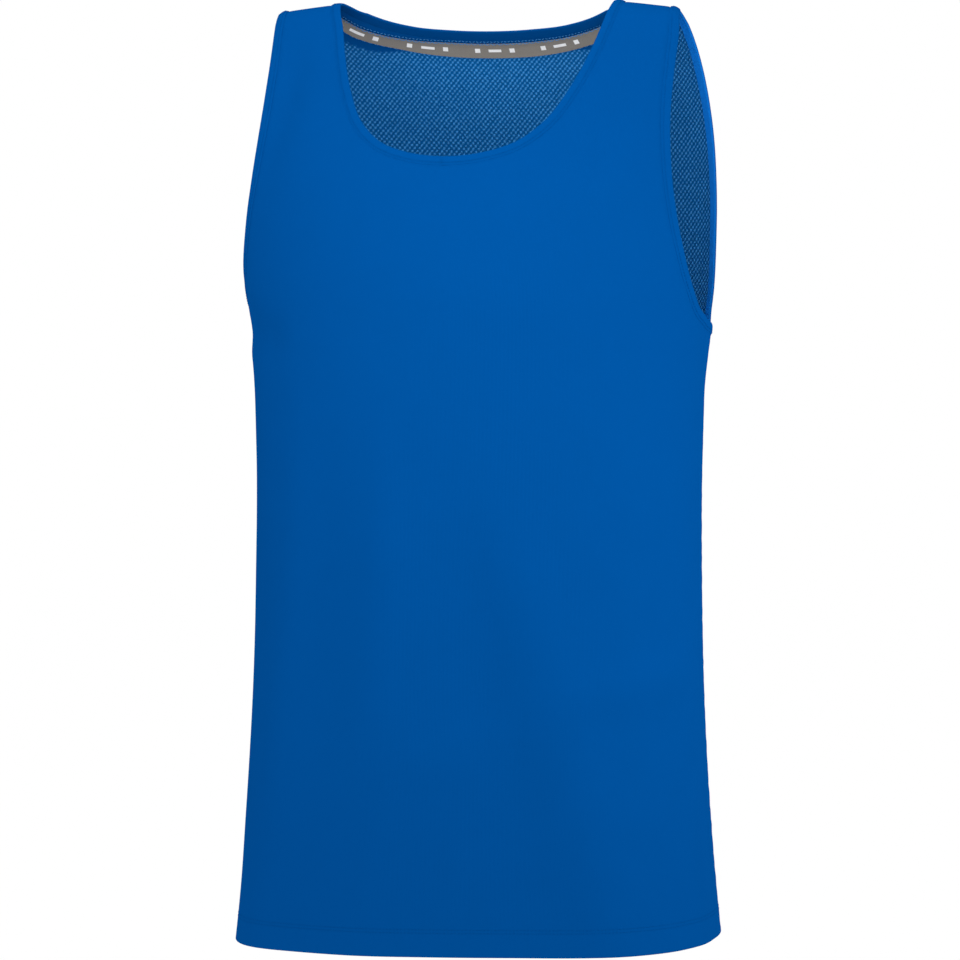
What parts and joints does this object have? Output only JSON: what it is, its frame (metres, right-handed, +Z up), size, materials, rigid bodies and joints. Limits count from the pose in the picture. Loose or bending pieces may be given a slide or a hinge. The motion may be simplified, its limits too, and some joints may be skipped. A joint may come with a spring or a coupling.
{
  "type": "running singlet",
  "caption": "Sleeveless running singlet, smooth knit front and net back, bound scoop neck and armholes, filled out with no wearer.",
  "frame": {"origin": "midway between the two shoulder tops, level with them, where a wearer's shoulders or a hanger would hold it", "axes": "+Z up, +X towards the wearer's left, the front of the garment faces -Y"},
  "size_m": [0.3786, 0.2307, 0.7302],
  "materials": {
    "front_knit": "smooth matt knit",
    "back_net": "fine net knit",
    "binding_knit": "smooth matt knit",
    "tape": "woven tape, matt"
  },
  "bodies": {
    "root": {"front_panel": "front_knit", "back_panel": "back_net", "neck_binding": "binding_knit", "armhole_binding_left": "binding_knit", "armhole_binding_right": "binding_knit", "neck_tape": "tape"}
  },
  "joints": []
}
